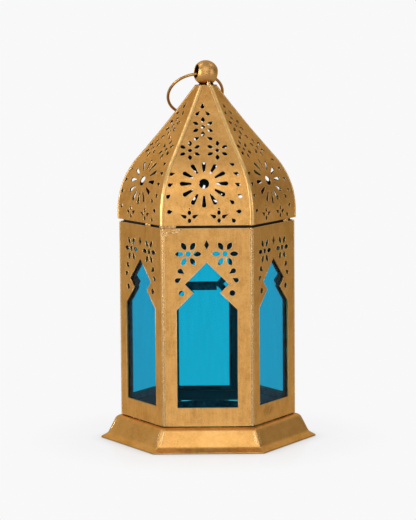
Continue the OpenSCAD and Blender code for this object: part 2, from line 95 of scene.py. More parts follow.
# ---------------------------------------------------------------- node materials
GOLD_LIGHT = (0.84, 0.475, 0.160)
GOLD_MID = (0.73, 0.385, 0.112)
GOLD_DARK = (0.52, 0.245, 0.060)
GOLD_EDGE = (1.0, 0.66, 0.36)  # tint of the gold where it is seen edge on
SOOT = (0.016, 0.016, 0.017)
RUST = (0.16, 0.070, 0.020)
# colour of the painted shade laid into corners and creases
PAINTED_SHADE = (0.075, 0.032, 0.010)
STAIN = (0.27, 0.125, 0.04)
STAIN_PLACE, STAIN_RADII = (32.5, -26.5, 18.8), (9, 9, 4.2)  # low on the front right panel
SHADE_BY_HEIGHT_FROM, SHADE_BY_HEIGHT_TO = 12, 118  # heights between which the body's colour goes from painted light to painted shade
FACES_IN = -0.62  # cosine between a face and the way out below which the face looks inwards
# Dark, middle and light tone of the smoother golds. On rims and corner beads the pale tones are
# partly a painted highlight.
PALE_TONES = ((0.60, 0.34, 0.12), (0.80, 0.50, 0.20), (0.90, 0.62, 0.30))
# near-black tones: painted shade of the gap under the ball
GAP_SHADE_TONES = ((0.05, 0.025, 0.010), (0.11, 0.055, 0.020), (0.26, 0.14, 0.05))
BALL_TONES = ((0.62, 0.33, 0.10), (0.66, 0.36, 0.115), (0.72, 0.41, 0.14))
# pale tones of the seams, partly a painted highlight
SEAM_TONES_WITH_PAINTED_HIGHLIGHT = ((0.66, 0.37, 0.11), (0.82, 0.50, 0.18), (0.90, 0.60, 0.25))
WIRE_TONES = ((0.34, 0.165, 0.045), (0.50, 0.26, 0.075), (0.66, 0.38, 0.12))


class Graph:
    """A node material under construction. Lengths in it are in millimetres."""

    def __init__(self, name):
        self.material = bpy.data.materials.new(name)
        self.material.use_nodes = True
        self.tree = self.material.node_tree
        self.tree.nodes.clear()
        coords = self.node("ShaderNodeTexCoord")
        self.position = self.vector_math("SCALE", coords.outputs["Object"], scale=1 / MM)
        self.normal = coords.outputs["Normal"]

    def put(self, socket, value):
        if isinstance(value, bpy.types.NodeSocket):
            self.tree.links.new(value, socket)
        elif isinstance(value, (tuple, list)) and len(value) == 3 and socket.type == "RGBA":
            socket.default_value = (*value, 1)
        else:
            socket.default_value = value

    def node(self, kind, inputs=(), **settings):
        made = self.tree.nodes.new(kind)
        for key, value in settings.items():
            setattr(made, key, value)
        for key, value in dict(inputs).items():
            self.put(made.inputs[key], value)
        return made

    def vector_math(self, operation, a, b=None, scale=None):
        made = self.node("ShaderNodeVectorMath", {0: a}, operation=operation)
        if b is not None:
            self.put(made.inputs[1], b)
        if scale is not None:
            made.inputs["Scale"].default_value = scale
        return made.outputs["Value" if operation in ("DOT_PRODUCT", "LENGTH") else "Vector"]

    def math(self, operation, a, b=0.0, clamp=False):
        made = self.node("ShaderNodeMath", {0: a, 1: b}, operation=operation, use_clamp=clamp)
        return made.outputs[0]

    def stretched(self, x, y, z):
        return self.vector_math("MULTIPLY", self.position, (x, y, z))

    def noise(self, size, detail=2.0, roughness=0.5, vector=None):
        """Noise with features of about the given size."""
        made = self.node("ShaderNodeTexNoise", {
            "Vector": vector or self.position, "Scale": 1 / size,
            "Detail": detail, "Roughness": roughness})
        return made.outputs["Fac"]

    def span(self, value, low, high, to_low=0.0, to_high=1.0, smooth=False):
        made = self.node("ShaderNodeMapRange", {
            "Value": value, "From Min": low, "From Max": high,
            "To Min": to_low, "To Max": to_high},
            interpolation_type="SMOOTHSTEP" if smooth else "LINEAR")
        return made.outputs["Result"]

    def mix(self, factor, a, b, blend="MIX"):
        made = self.node("ShaderNodeMix", {0: factor, 6: a, 7: b},
                         data_type="RGBA", blend_type=blend)
        return made.outputs[2]

    def mix_value(self, factor, a, b):
        return self.node("ShaderNodeMix", {0: factor, 2: a, 3: b}).outputs[0]

    def bump(self, height, depth, strength=1.0, normal=None):
        inputs = {"Height": height, "Distance": depth * MM, "Strength": strength}
        if normal is not None:
            inputs["Normal"] = normal
        return self.node("ShaderNodeBump", inputs).outputs["Normal"]

    def facing_in(self):
        """1 where a face looks towards the lantern's axis, 0 elsewhere."""
        flat = (1, 1, 0)
        outwards = self.vector_math("NORMALIZE", self.vector_math("MULTIPLY", self.position, flat))
        level = self.vector_math("NORMALIZE", self.vector_math("MULTIPLY", self.normal, flat))
        cosine = self.vector_math("DOT_PRODUCT", outwards, level)
        return self.math("LESS_THAN", cosine, FACES_IN)

    def spot(self, centre, radii):
        """1 at a place, falling to 0 over the radii."""
        away = self.vector_math("SUBTRACT", self.position, centre)
        away = self.vector_math("DIVIDE", away, radii)
        return self.span(self.vector_math("LENGTH", away), 0.2, 1, 1, 0, smooth=True)

    def painted_shade_in_corners(self, colour, reach, start, full):
        """Painted shade: the colour, darkened where less than the share `start` of the surroundings
        is open.
        """
        openness = self.node("ShaderNodeAmbientOcclusion", {"Distance": reach * MM}, samples=8)
        return self.mix(self.span(openness.outputs["AO"], start, full, 0, 0.9), colour, PAINTED_SHADE)

    def finish(self, shader):
        self.node("ShaderNodeOutputMaterial", {"Surface": shader})
        return self.material

    def finish_gold(self, colour, metallic, roughness, normal):
        shader = self.node("ShaderNodeBsdfPrincipled", {
            "Base Color": colour, "Metallic": metallic, "Roughness": roughness,
            "Normal": normal, "Specular Tint": (*GOLD_EDGE, 1)})
        return self.finish(shader.outputs[0])


def gold_paint(name, streaks, rough=0.42, stain=False, height_shading=0.0, inside_tone=SOOT):
    """Metallic gold paint over sheet steel: grain, brush marks and blotches, with painted shade in
    corners and, if asked, painted light and shade by height.
    """
    g = Graph(name)
    blotch = g.noise(14, detail=3)
    cloud = g.noise(4.5, detail=4, roughness=0.6)
    grain = g.noise(0.45, detail=3, roughness=0.7)
    brush = g.noise(1.1, detail=3, roughness=0.6, vector=g.stretched(*streaks))
    tone = g.span(blotch, 0.3, 0.7, -0.20, 0.20)
    for field, swing in ((cloud, 0.14), (brush, 0.16), (grain, 0.26)):
        tone = g.math("ADD", tone, g.span(field, 0.3, 0.7, -swing, swing))
    tone = g.math("ADD", tone, 0.5, clamp=True)
    colour = g.mix(g.span(tone, 0, 0.5), GOLD_DARK, GOLD_MID)
    colour = g.mix(g.span(tone, 0.5, 1), colour, GOLD_LIGHT)
    # painted light and shade: the colour is lighter low on the body and darker high up, by the
    # share given
    height = g.node("ShaderNodeSeparateXYZ", {0: g.position}).outputs["Z"]
    painted_height_shade = g.span(height, SHADE_BY_HEIGHT_FROM, SHADE_BY_HEIGHT_TO, 1 + height_shading, 1 - height_shading)
    colour = g.mix(1.0, colour, painted_height_shade, blend="MULTIPLY")
    speck = g.span(g.noise(0.8, detail=1), 0.70, 0.76)
    colour = g.mix(g.math("MULTIPLY", speck, 0.35), colour, RUST)
    if stain:
        rub = g.spot(STAIN_PLACE, STAIN_RADII)
        ragged = g.span(g.noise(1.1, detail=4, roughness=0.7), 0.38, 0.62)
        rub = g.math("MULTIPLY", rub, ragged)
        colour = g.mix(g.math("MULTIPLY", rub, 0.65), colour, STAIN)
    # painted shade: the colour is darkened in corners and creases
    colour = g.painted_shade_in_corners(colour, 0.9, 0.62, 0.22)
    wear = g.noise(2.2, detail=4, roughness=0.6)
    roughness = g.span(wear, 0.3, 0.7, rough - 0.07, rough + 0.07)
    inside = g.facing_in()
    colour = g.mix(inside, colour, inside_tone)
    roughness = g.mix_value(inside, roughness, 0.6)
    metallic = g.math("SUBTRACT", 1, g.math("MULTIPLY", inside, 0.7))
    normal = g.bump(g.noise(0.35, detail=2), 0.03, 0.35)
    normal = g.bump(g.noise(6, detail=2), 0.25, 0.35, normal)
    return g.finish_gold(colour, metallic, roughness, normal)


def bright_gold(name, tones, rough=0.22, grain_depth=0.02, cloudy=1.0, shade_reach=None,
                hollow=None):
    """Smoother gold lacquer, for the ball, the wire and melted solder.

    The tones go from dark to light. With a shade reach, painted shade darkens the corners. A
    hollow, given by its centre and radius, is dark inside.
    """
    g = Graph(name)
    cloud = g.noise(3.2, detail=4, roughness=0.6)
    grain = g.noise(0.5, detail=2)
    colour = g.mix(g.span(cloud, 0.35, 0.65), tones[0], tones[1])
    colour = g.mix(g.span(grain, 0.35, 0.75), colour, tones[2])
    # painted shade in corners, reaching shade_reach millimetres
    if shade_reach is not None:
        colour = g.painted_shade_in_corners(colour, shade_reach, 0.75, 0.3)
    roughness = g.span(cloud, 0.3, 0.7, rough + 0.08 * cloudy, rough - 0.04 * cloudy)
    normal = g.bump(grain, grain_depth, 0.4)
    metallic = 1.0
    if hollow is not None:
        centre, radius = hollow
        away = g.vector_math("SUBTRACT", g.position, tuple(centre / MM))
        reach = g.vector_math("LENGTH", away)
        inside = g.span(reach, radius / MM - 0.15, radius / MM + 0.15, 1, 0)
        colour = g.mix(inside, colour, SOOT)
        roughness = g.mix_value(inside, roughness, 0.8)
        metallic = g.math("SUBTRACT", 1, inside)
    return g.finish_gold(colour, metallic, roughness, normal)


def raw_steel(name, pale=(0.034, 0.033, 0.033)):
    """Dull, sooty steel of the parts inside."""
    g = Graph(name)
    cloud = g.noise(5, detail=4, roughness=0.6)
    colour = g.mix(g.span(cloud, 0.3, 0.7), SOOT, pale)
    roughness = g.span(g.noise(1.5, detail=3), 0.3, 0.7, 0.5, 0.7)
    normal = g.bump(g.noise(0.6, detail=2), 0.03, 0.4)
    shader = g.node("ShaderNodeBsdfPrincipled", {
        "Base Color": colour, "Metallic": 0.3, "Roughness": roughness, "Normal": normal,
        "Specular IOR Level": 0.3})
    return g.finish(shader.outputs[0])


def blue_glass(name):
    """Cyan-blue sheet glass, tinted through its thickness, with faint upright ripples."""
    g = Graph(name)
    ripple = g.noise(2.4, detail=3, vector=g.stretched(1, 1, 0.12))
    colour = g.mix(g.span(ripple, 0.3, 0.7), (0.20, 0.76, 0.86), (0.27, 0.82, 0.90))
    normal = g.bump(g.noise(9, detail=1, vector=g.stretched(1, 1, 0.4)), 0.05, 0.25)
    shader = g.node("ShaderNodeBsdfPrincipled", {
        "Base Color": colour, "Roughness": 0.02, "IOR": 1.16,
        "Transmission Weight": 1.0, "Normal": normal})
    depth = g.node("ShaderNodeVolumeAbsorption", {"Color": (0.03, 0.804, 0.888), "Density": 475.0})
    g.node("ShaderNodeOutputMaterial", {"Surface": shader.outputs[0], "Volume": depth.outputs[0]})
    return g.material


def white_floor(name):
    """Pale glossy floor that glows as a lit studio sweep does, with a painted contact shadow next
    to the lantern.
    """
    g = Graph(name)
    haze = g.span(g.noise(60, detail=2), 0.3, 0.7, 0.16, 0.20)
    # painted contact shadow: the floor's glow is darkened next to the lantern
    contact = g.node("ShaderNodeAmbientOcclusion", {"Distance": 12 * MM}).outputs["AO"]
    shade = g.span(contact, 0.45, 1, 0.55, 1)
    seen = g.node("ShaderNodeLightPath")
    direct = g.math("MAXIMUM", seen.outputs["Is Camera Ray"], seen.outputs["Is Transmission Ray"])
    shade = g.math("MULTIPLY", shade, g.mix_value(direct, FLOOR_GLOW, SWEEP))
    glow = g.node("ShaderNodeEmission", {"Color": (1, 1, 1), "Strength": shade})
    shine = g.node("ShaderNodeBsdfGlossy", {"Color": (1, 1, 1), "Roughness": haze})
    reach = g.vector_math("LENGTH", g.position)
    gloss = g.span(reach, 50, 105, 0.11, 0.0, smooth=True)
    mixed = g.node("ShaderNodeMixShader", {0: gloss, 1: glow.outputs[0], 2: shine.outputs[0]})
    return g.finish(mixed.outputs[0])


# the body's inside tone is dark steel tinted blue: partly painted blue light from the panes
GOLD = gold_paint("gold_paint", streaks=(1, 1, 0.12), stain=True, height_shading=0.12,
                  inside_tone=(0.085, 0.10, 0.13))
GOLD_ROOF = gold_paint("gold_paint_roof", streaks=(0.8, 0.8, 0.5))
GOLD_BASE = gold_paint("gold_paint_base", streaks=(1, 1, 1), rough=0.36)
# the seams' pale gold is partly a painted highlight, and their edges carry painted shade
GOLD_SEAM_HIGHLIGHT_AND_SHADE = bright_gold("gold_paint_seam_painted_highlight_and_shade", SEAM_TONES_WITH_PAINTED_HIGHLIGHT, rough=0.36, grain_depth=0.05,
                        shade_reach=0.8)
# the ball carries painted shade where it comes close to the crown and the roof
GOLD_BALL = bright_gold("gold_lacquer_ball", BALL_TONES, rough=0.40, grain_depth=0.004,
                        cloudy=0.2, shade_reach=2.5, hollow=(BALL_CENTRE, BALL_R - 0.5 * MM))
GOLD_WIRE = bright_gold("gold_lacquer_wire", WIRE_TONES, rough=0.3, grain_depth=0.03)
SOLDER = bright_gold("gold_over_solder", PALE_TONES, rough=0.26, grain_depth=0.05)
# pale rims: partly a painted highlight along the hole edges
GOLD_RIM_PAINTED_HIGHLIGHT = bright_gold("gold_paint_rim_painted_highlight", PALE_TONES, rough=0.34, grain_depth=0.02)
# pale corner beads: partly a painted highlight along the corners
GOLD_BEAD_PAINTED_HIGHLIGHT = bright_gold("gold_paint_bead_painted_highlight", PALE_TONES, rough=0.24, grain_depth=0.03)
# solder painted near-black as the shade in the gap under the ball
SOLDER_PAINTED_GAP_SHADE = bright_gold("solder_painted_gap_shade", GAP_SHADE_TONES, rough=0.5, grain_depth=0.05)
STEEL = raw_steel("raw_steel")
# dark steel made paler and bluish: partly painted blue light from the panes
PANE_STEEL_BLUE_LIT = raw_steel("raw_steel_pane_painted_blue_light", pale=(0.13, 0.15, 0.19))
# dark steel made paler and bluish: partly painted blue light and its reflection
DECK_STEEL_BLUE_LIT = raw_steel("raw_steel_deck_painted_blue_light", pale=(0.17, 0.19, 0.24))
GLASS = blue_glass("blue_glass")

# The material of the CAD nodes whose names start so; every other node is in GOLD
MATERIAL_OF = [
    (("glass_", "door_glass"), GLASS),
    (("roof_petal", "crown"), GOLD_ROOF),
    (("roof_seam",), GOLD_SEAM_HIGHLIGHT_AND_SHADE),
    (("base_deck", "tealight"), DECK_STEEL_BLUE_LIT),
    (("pane_retainer", "door_grille"), PANE_STEEL_BLUE_LIT),
    (("collar_band", "finial_stud"), STEEL),
    (("corner_post",), GOLD_BEAD_PAINTED_HIGHLIGHT),
    (("base_plinth",), GOLD_BASE),
    (("hanging_ring", "hinge_", "latch_"), GOLD_WIRE),
]


def paint(obj, material):
    obj.data.materials.clear()
    obj.data.materials.append(material)


# ---------------------------------------------------------------- what the pieces share
def new_piece(name, bm, material, body="lantern", replaces=(), smooth=35):
    """Turns a bmesh into a piece that rides on a body. Edges over `smooth` degrees are sharp."""
    bmesh.ops.recalc_face_normals(bm, faces=bm.faces)
    mesh = bpy.data.meshes.new(name)
    bm.to_mesh(mesh)
    bm.free()
    mesh.shade_smooth()
    mesh.set_sharp_from_angle(angle=math.radians(smooth))
    obj = bpy.data.objects.new(name, mesh)
    bpy.context.scene.collection.objects.link(obj)
    mesh.materials.append(material)
    if replaces:
        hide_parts(*replaces)
    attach(obj, body)
    return obj


def turned(x, y, z, angle):
    """A place given in the front side's axes, turned to another side."""
    return Matrix.Rotation(angle, 3, "Z") @ Vector((x, y, z))


def apothem(node):
    """Distance in millimetres from the axis to the outer face of a front piece."""
    return -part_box(node)[0].y / MM


def skin(bm, rings, closed):
    """Faces between rings of points. The last ring joins the first, or both ends get a cap."""
    for ring, follow in zip(rings, rings[1:] + rings[:1] if closed else rings[1:]):
        for j in range(len(ring)):
            bm.faces.new((ring[j - 1], ring[j], follow[j], follow[j - 1]))
    if not closed:
        bm.faces.new(rings[0])
        bm.faces.new(list(reversed(rings[-1])))


def add_lump(bm, centre, radii, seed, tilt=(0, 0, 0), rough=0.22):
    """Adds one lump of melted metal. Millimetres."""
    made = bmesh.ops.create_icosphere(bm, subdivisions=3, radius=1)
    turn = Euler(tilt).to_matrix()
    for v in made["verts"]:
        swell = 1 + rough * noise.noise(v.co * 1.6 + Vector((seed * 3.1, seed * 1.7, 0)))
        local = Vector([c * r for c, r in zip(v.co, radii)]) * swell
        v.co = (turn @ local + Vector(centre)) * MM


# ---------------------------------------------------------------- rims of the holes
def outer_sheet(bm, direction):
    """The faces of the sheet's outer surface, spread from its largest face that looks outwards."""
    seeds = [f for f in bm.faces if f.normal.dot(direction) > 0.7]
    stack = [max(seeds, key=lambda f: f.calc_area())]
    found = dict.fromkeys(stack)  # a dict keeps its order, so every run sums up the same way
    while stack:
        for edge in stack.pop().edges:
            for face in edge.link_faces:
                if face not in found and edge.calc_face_angle(9) < math.radians(25):
                    found[face] = None
                    stack.append(face)
    return found


def edge_loops(faces):
    """Closed loops of points and normals round a set of faces, from the shortest to the longest."""
    after = {}
    normal = {}
    for face in faces:
        for loop in face.loops:
            if sum(f in faces for f in loop.edge.link_faces) == 1:
                after[loop.vert] = loop.link_loop_next.vert
        for vert in face.verts:
            normal[vert] = normal.get(vert, Vector()) + face.normal * face.calc_area()
    loops = []
    used = set()
    for vert in sorted(after, key=lambda v: v.index):
        ring = []
        while vert is not None and vert not in used:
            used.add(vert)
            ring.append(vert)
            vert = after.get(vert)
        if len(ring) > 5:
            loops.append([(v.co.copy(), normal[v].normalized()) for v in ring])
    return sorted(loops, key=length_round)


def length_round(points):
    return sum((points[i][0] - points[i - 1][0]).length for i in range(len(points)))


def thinned(points, gap):
    kept = [points[0]]
    for point in points[1:]:
        if (point[0] - kept[-1][0]).length > gap:
            kept.append(point)
    return kept


def add_rim(bm, points, radius, sunk, aside):
    """A thin rounded rim along a closed loop, beside the loop on the sheet."""
    sides = 8
    turns = [2 * math.pi * j / sides for j in range(sides)]
    rings = []
    for i, (place, normal) in enumerate(points):
        along = (points[(i + 1) % len(points)][0] - points[i - 1][0]).normalized()
        across = along.cross(normal).normalized()
        centre = place - normal * sunk + across * aside
        rings.append([bm.verts.new(centre + radius * (across * math.cos(t) + normal * math.sin(t)))
                      for t in turns])
    skin(bm, rings, closed=True)


def rims(node, angle, holes_only, radius_mm):
    """Rounded rims left by the punch and thickened by paint round a sheet's holes; their pale gold
    is partly a painted highlight.
    """
    source = bmesh.new()
    source.from_mesh(NODES[node].data)
    bmesh.ops.remove_doubles(source, verts=source.verts, dist=0.02 * MM)
    source.normal_update()
    source.verts.index_update()
    loops = edge_loops(outer_sheet(source, turned(0, -1, 0, angle)))
    if holes_only:
        loops = loops[:-1]
    radius = radius_mm * MM
    bm = bmesh.new()
    for points in loops:
        add_rim(bm, thinned(points, 0.16 * MM), radius, 0.5 * radius, -0.8 * radius)
    source.free()
    new_piece(node + "_rims", bm, GOLD_RIM_PAINTED_HIGHLIGHT, smooth=80)


# ---------------------------------------------------------------- roof seams
def seam_outline(node, angle):
    """Outer outline of a seam strip: its distance from the axis at each height."""
    radial = turned(1, 0, 0, angle)
    sideways = turned(0, 1, 0, angle)
    source = bmesh.new()
    source.from_mesh(NODES[node].data)
    places = {}
    for face in source.faces:
        if face.normal.dot(radial) > 0.3 and abs(face.normal.dot(sideways)) < 0.1:
            for vert in face.verts:
                places[round(vert.co.z / MM, 2)] = (vert.co.dot(radial), vert.co.z)
    source.free()
    kept = []
    for z in sorted(places, reverse=True):
        if not kept or places[z][0] > kept[-1][0] - 0.1 * MM:
            kept.append(places[z])
    return kept[::-1]


def seam_profile(wave):
    """Places across a seam strip and their heights over its flat back. Millimetres."""
    steps = 12
    half_w = 1.3
    low, rise, skirt = -0.30, 0.62, -0.75
    turns = [math.pi * j / steps for j in range(steps + 1)]
    crown = [(-half_w * math.cos(t), low + rise * math.sin(t) ** 0.75 + wave) for t in turns]
    return crown + [(half_w, skirt), (-half_w, skirt)]


def crowned_seam(number):
    """A seam strip with a rounded back and edges that turn down onto the petals."""
    node = "roof_seam_%d" % number
    angle = CORNER_ANGLE[number - 1]
    outline = seam_outline(node, angle)
    kept = [outline[0]]
    for place in outline[1:]:
        if place[1] - kept[-1][1] > 0.5 * MM or place is outline[-1]:
            kept.append(place)
    rings = []
    bm = bmesh.new()
    for i, (reach, z) in enumerate(kept):
        before = kept[max(i - 1, 0)]
        after = kept[min(i + 1, len(kept) - 1)]
        run = Vector((after[0] - before[0], after[1] - before[1])).normalized()
        out = Vector((run.y, -run.x))
        wave = 0.09 * noise.noise(Vector((number * 5.3, 0, z / MM / 5)))
        ring = []
        for across, rise in seam_profile(wave):
            place = turned(reach / MM + out.x * rise, across, z / MM + out.y * rise, angle)
            ring.append(bm.verts.new(place * MM))
        rings.append(ring)
    skin(bm, rings, closed=False)
    new_piece(node + "_crowned", bm, GOLD_SEAM_HIGHLIGHT_AND_SHADE, replaces=[node], smooth=50)


# ---------------------------------------------------------------- plinth
def plinth_section():
    """Closed outline of the plinth's sheet: distance from the axis to a side, and height.

    It starts at the foot's tip. Millimetres.
    """
    source = bmesh.new()
    source.from_mesh(NODES["base_plinth"].data)
    bmesh.ops.remove_doubles(source, verts=source.verts, dist=0.002 * MM)
    source.normal_update()
    mitre = turned(1, 0, 0, CORNER_ANGLE[0])
    beside = turned(0, 1, 0, CORNER_ANGLE[0])
    links = {}
    for edge in source.edges:
        on_mitre = all(abs(v.co.dot(beside)) < 0.03 * MM and v.co.dot(mitre) > 0
                       for v in edge.verts)
        if on_mitre and edge.calc_face_angle(0) > math.radians(1):
            a, b = edge.verts
            links.setdefault(a, []).append(b)
            links.setdefault(b, []).append(a)
    start = max(links, key=lambda v: (v.co.dot(mitre), v.co.z))
    chain = [start]
    seen = {start}
    while True:
        after = [v for v in links[chain[-1]] if v not in seen]
        if not after:
            break
        chain.append(after[0])
        seen.add(after[0])
    section = [(v.co.dot(mitre) * COS30 / MM, v.co.z / MM) for v in chain]
    source.free()
    return section


def hexagon_round(apothem_mm, rounding, per_side, per_corner):
    """Points round a hexagon with slightly rounded corners, from one corner on. Millimetres."""
    reach = (apothem_mm - rounding) / COS30

    def on_corner(k, degrees):
        corner = turned(reach, 0, 0, CORNER_ANGLE[k])
        a = CORNER_ANGLE[k] + math.radians(degrees)
        return Vector((corner.x + rounding * math.cos(a), corner.y + rounding * math.sin(a)))

    points = []
    for k in range(6):
        points += [on_corner(k, 60 * j / per_corner - 30) for j in range(per_corner + 1)]
        last = points[-1]
        first = on_corner((k + 1) % 6, -30)
        points += [last.lerp(first, j / per_side) for j in range(1, per_side)]
    return points


def plinth_shell():
    """The plinth with softened mitres, hand-pressed ripples and a hem turned under the lip."""
    section = plinth_section()
    tip_a, tip_z = section[0]
    hem = [(tip_a - 0.5, 0.0), (tip_a - 0.15, 0.12), (tip_a - 0.05, 0.42),
           (tip_a - 0.22, 0.70), (tip_a - 0.60, 0.84), (tip_a - 0.35, 0.93),
           (tip_a - 0.08, tip_z + 0.06), (tip_a - 0.10, tip_z + 0.26)]
    outline = list(hem)
    for before, place in zip(section, section[1:]):
        parts = 6 if math.dist(before, place) > 5 else 1
        for j in range(1, parts + 1):
            outline.append(tuple(b + (p - b) * j / parts for b, p in zip(before, place)))
    top_a, top_z = outline[-1]
    inner = [(top_a - 5.4, top_z), (top_a - 5.4, top_z - 0.9), (top_a - 0.4, top_z - 0.9)]
    inner += [(a - 1.0, z - 0.35) for a, z in reversed(section[1:-4])]
    inner += [(tip_a - 3.4, 0.5), (tip_a - 2.4, 0.0)]
    bm = bmesh.new()
    rings = []
    for i, (reach, z) in enumerate(outline + inner):
        pressed = len(hem) <= i < len(outline)
        ring = []
        for point in hexagon_round(reach, 1.1 if pressed else 0.9, per_side=30, per_corner=6):
            dent = 0.0
            if pressed:
                dent = 0.10 * noise.noise(Vector((point.x / 9, point.y / 9, z / 7)))
                dent += 0.035 * noise.noise(Vector((point.x / 1.6, point.y / 1.6, z / 9)))
                dent *= max(min(1.0, (z - 2.4) / 2.5, (top_z - z) / 1.0), 0.0)
            place = point + point.normalized() * dent
            ring.append(bm.verts.new((place.x * MM, place.y * MM, z * MM)))
        rings.append(ring)
    skin(bm, rings, closed=True)
    new_piece("base_plinth_pressed", bm, GOLD_BASE, replaces=["base_plinth"], smooth=42)


def mitre_solder():
    """Runs of melted solder down both sides of each mitre of the plinth."""
    random.seed(21)
    lip_top, from_z, to_z, rows_in_run = 3.4, 3.7, 11.6, 25
    skirt = [place for place in plinth_section() if place[1] > lip_top]
    bm = bmesh.new()
    for k in range(6):
        for side in (-1, 1):
            shift = random.uniform(1.3, 2.0)
            half_w = random.uniform(0.7, 1.0)
            rows = []
            for i in range(rows_in_run):
                z = from_z + (to_z - from_z) * i / (rows_in_run - 1)
                low, high = next((a, b) for a, b in zip(skirt, skirt[1:])
                                 if a[1] <= z <= b[1] + 0.01)
                reach = low[0] + (high[0] - low[0]) * (z - low[1]) / (high[1] - low[1])
                centre = shift + 0.35 * noise.noise(Vector((k * 3.1, side, z / 2.2)))
                swell = abs(noise.noise(Vector((k * 7.7, side * 2.0, z / 1.4))))
                rows.append((reach, z, centre, half_w * (0.75 + 0.9 * swell)))
            add_run(bm, rows, CORNER_ANGLE[k], side)
    new_piece("base_mitre_solder", bm, SOLDER, smooth=60)


def add_run(bm, rows, corner_angle, side):
    """A flat run of metal on the side of the plinth next to a corner. Millimetres.

    Each row gives the plinth's reach, the height, and the run's centre and half width.
    """
    steps = 8
    side_angle = corner_angle + side * math.radians(30)
    rings = []
    for i, (reach, z, centre, width) in enumerate(rows):
        taper = math.sin(math.pi * (i + 0.4) / (len(rows) - 0.2)) ** 0.4
        along = reach * math.tan(math.radians(30)) - centre
        ring = []
        for j in range(steps + 1):
            t = math.pi * j / steps
            across = along + width * taper * math.cos(t)
            proud = 0.24 * taper * math.sin(t) - 0.12
            place = turned(reach + proud, -side * across, z + 0.3 * proud, side_angle)
            ring.append(bm.verts.new(place * MM))
        rings.append(ring)
    skin(bm, rings, closed=False)


# ---------------------------------------------------------------- solder
def collar_solder():
    """Lumps behind the sheets that hold the collar, and the bridges across the gap."""
    random.seed(11)
    wall = apothem("body_panel_front")
    low, high = (v.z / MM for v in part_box("collar_solder"))
    gap_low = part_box("body_panel_front")[1].z / MM
    gap_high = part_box("roof_petal_front")[0].z / MM
    # Where the bridge of each side lies along it, and half its length
    bridges = [(-20.2, 2.9), (13.8, 1.8), (-6.2, 1.6), (16.8, 1.8), (-12.2, 1.7), (7.8, 1.9)]
    bm = bmesh.new()
    for k, side in enumerate(SIDES):
        angle = SIDE_ANGLE[side]
        for x, z in ((-12.5, low + 1.3), (13.5, low + 1.3), (-1.4, high - 1.2)):
            add_lump(bm, turned(x, 0.9 - wall + 0.6, z, angle), (2.0, 0.7, 1.0),
                     seed=k + x, tilt=(0, 0, angle))
        x, half = bridges[k]
        for step in range(4):
            along = x + half * (step / 1.5 - 1)
            place = turned(along, 0.45 - wall, (gap_low + gap_high) / 2, angle)
            size = (half * 0.45, 0.5, (gap_high - gap_low) * random.uniform(0.56, 0.72))
            add_lump(bm, place, size, seed=k * 7 + step, tilt=(0, 0, angle))
    new_piece("collar_solder_lumps", bm, SOLDER, replaces=["collar_solder"])


def base_solder():
    """Small beads between the body and the plinth."""
    random.seed(5)
    wall = apothem("body_panel_front")
    low, high = (v.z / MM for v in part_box("base_solder"))
    bm = bmesh.new()
    for k, side in enumerate(SIDES):
        angle = SIDE_ANGLE[side]
        for x in (-11, -3.5, 6, 14.5):
            place = turned(x + random.uniform(-1, 1), 0.6 - wall, (low + high) / 2, angle)
            size = (random.uniform(0.5, 1.1), 0.55, (high - low) * 0.75)
            add_lump(bm, place, size, seed=k * 5 + x, tilt=(0, 0, angle))
    new_piece("base_solder_lumps", bm, GOLD_BASE, replaces=["base_solder"])


def crown_solder():
    """Rough solder under the ball, standing on the crown, with one run down the front petal."""
    random.seed(8)
    low, high = (v.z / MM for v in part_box("crown_tabs"))
    bm = bmesh.new()
    for step, degrees in enumerate((238, 262, 330, 5, 40, 95, 150, 200)):
        angle = math.radians(degrees)
        reach = random.uniform(3.2, 3.9)
        size = [random.uniform(0.4, 0.7) for _ in range(2)] + [(high - low) * 0.8]
        add_lump(bm, (reach * math.cos(angle), reach * math.sin(angle), (low + high) / 2),
                 size, seed=step, rough=0.5)
    # these lumps are near-black: painted shade of the gap under the ball
    new_piece("crown_solder_lumps", bm, SOLDER_PAINTED_GAP_SHADE, replaces=["crown_tabs"])
    bm = bmesh.new()
    add_lump(bm, (1.5, -4.2, high + 0.1), (0.95, 0.75, 1.0), seed=3, rough=0.45)
    add_lump(bm, (1.9, -5.0, low - 0.3), (0.9, 0.55, 0.9), seed=5, rough=0.45)
    add_lump(bm, (2.5, -5.3, low - 0.9), (0.6, 0.4, 1.1), seed=9, rough=0.4)
    add_lump(bm, (-3.3, -4.6, low - 0.1), (0.8, 0.4, 0.35), seed=6, rough=0.4)
    new_piece("crown_solder_run", bm, SOLDER)


def drips():
    """Specks of solder left on the front panel: a patch at its upper left and one low down."""
    random.seed(17)
    wall = apothem("body_panel_front")
    bottom, top = (v.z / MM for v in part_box("body_panel_front"))
    patch_left, patch_right = -21.6, -13.8
    bm = bmesh.new()
    for step in range(13):
        x = random.uniform(patch_left, patch_right)
        z = top - 0.5 - random.uniform(0, 1) * (3.3 - 0.25 * (x - patch_left))
        size = (random.uniform(0.7, 1.3), 0.24, random.uniform(0.35, 0.6))
        tilt = (0, random.uniform(-0.5, 0.5), 0)
        add_lump(bm, (x, -wall, z), size, seed=step, tilt=tilt, rough=0.6)
    add_lump(bm, (-3.9, -wall, bottom + 2.9), (0.9, 0.25, 0.35), seed=31, tilt=(0, 0.3, 0),
             rough=0.55)
    new_piece("solder_specks", bm, SOLDER)


